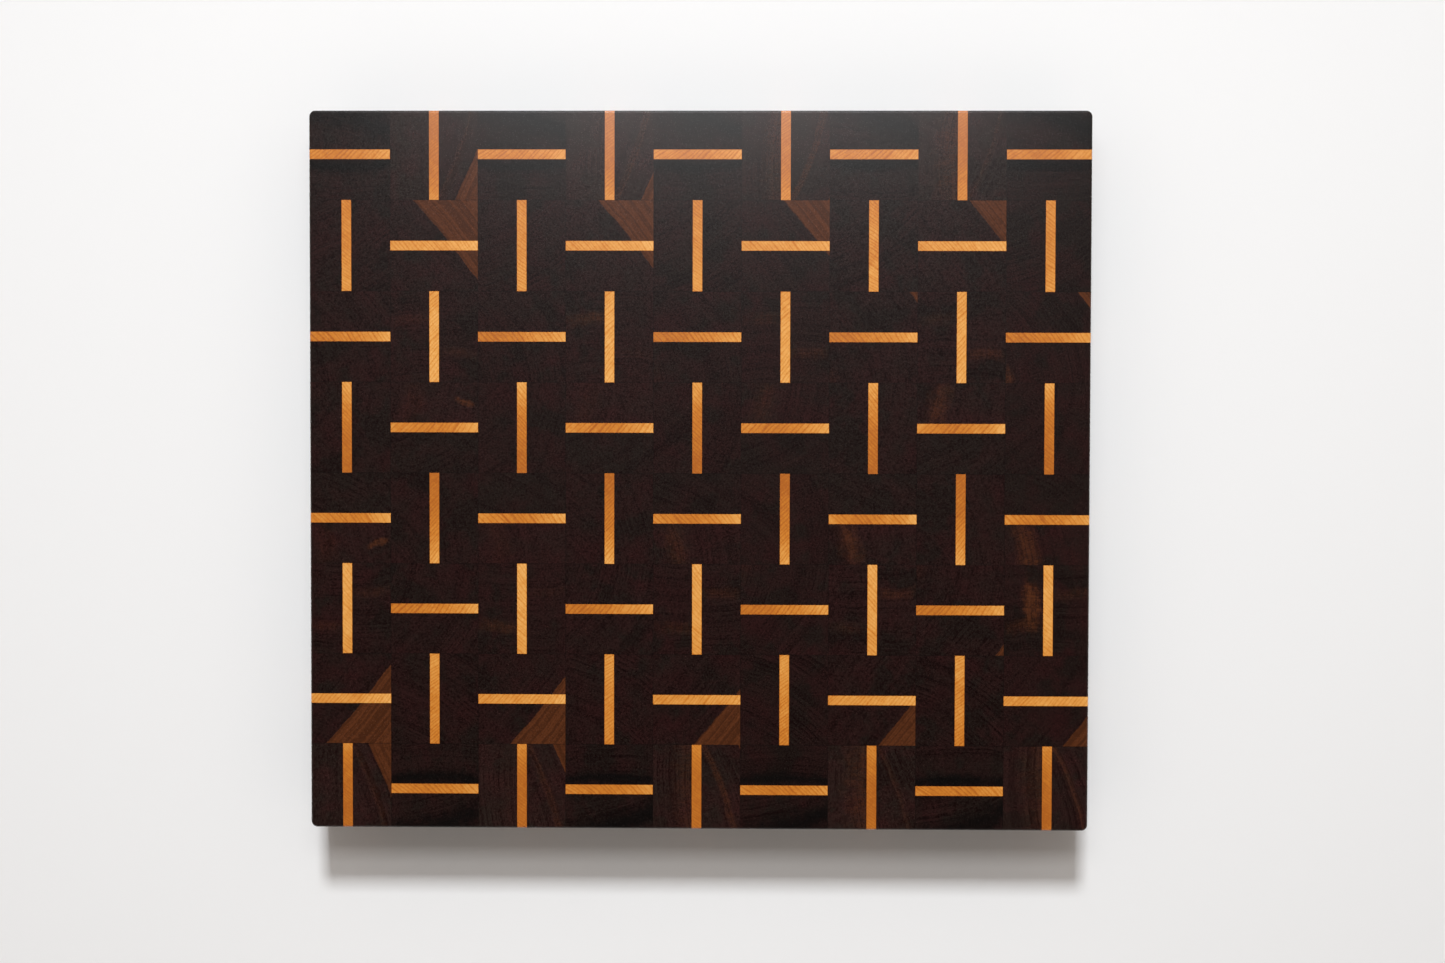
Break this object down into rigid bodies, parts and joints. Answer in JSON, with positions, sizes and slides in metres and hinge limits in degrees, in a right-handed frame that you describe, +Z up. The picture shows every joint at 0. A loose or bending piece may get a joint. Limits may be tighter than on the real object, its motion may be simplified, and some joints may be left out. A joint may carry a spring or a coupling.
{
  "type": "cutting board",
  "caption": "Rectangular end-grain walnut cutting board with a pale basketweave of thin strips, eased edges and screwed rubber feet.",
  "frame": {"origin": "on the ground plane, under the middle of the board", "axes": "+X along the board's long side, across the slices; +Y along the slices, away from the front edge; +Z up, out of the work surface"},
  "size_m": [0.385, 0.3546, 0.039],
  "materials": {
    "walnut": "oiled end grain, satin",
    "maple": "oiled end grain, satin",
    "rubber": "moulded, matt",
    "stainless": "plain turned"
  },
  "bodies": {
    "root": {"slice_1_blocks_1_2": "walnut", "slice_1_blocks_3_4": "walnut", "slice_1_blocks_5_6": "walnut", "slice_1_blocks_7_8": "walnut", "slice_2_blocks_1_2": "walnut", "slice_2_blocks_3_4": "walnut", "slice_2_blocks_5_6": "walnut", "slice_2_blocks_7_8": "walnut", "slice_3_blocks_1_2": "walnut", "slice_3_blocks_3_4": "walnut", "slice_3_blocks_5_6": "walnut", "slice_3_blocks_7_8": "walnut", "slice_4_blocks_1_2": "walnut", "slice_4_blocks_3_4": "walnut", "slice_4_blocks_5_6": "walnut", "slice_4_blocks_7_8": "walnut", "slice_5_blocks_1_2": "walnut", "slice_5_blocks_3_4": "walnut", "slice_5_blocks_5_6": "walnut", "slice_5_blocks_7_8": "walnut", "slice_6_blocks_1_2": "walnut", "slice_6_blocks_3_4": "walnut", "slice_6_blocks_5_6": "walnut", "slice_6_blocks_7_8": "walnut", "slice_7_blocks_1_2": "walnut", "slice_7_blocks_3_4": "walnut", "slice_7_blocks_5_6": "walnut", "slice_7_blocks_7_8": "walnut", "slice_8_blocks_1_2": "walnut", "slice_8_blocks_3_4": "walnut", "slice_8_blocks_5_6": "walnut", "slice_8_blocks_7_8": "walnut", "slice_9_blocks_1_2": "walnut", "slice_9_blocks_3_4": "walnut", "slice_9_blocks_5_6": "walnut", "slice_9_blocks_7_8": "walnut", "foot_front_left": "rubber", "foot_front_right": "rubber", "foot_back_left": "rubber", "foot_back_right": "rubber", "washer_front_left": "stainless", "washer_front_right": "stainless", "washer_back_left": "stainless", "washer_back_right": "stainless", "screw_front_left": "stainless", "screw_front_right": "stainless", "screw_back_left": "stainless", "screw_back_right": "stainless"}
  },
  "joints": []
}
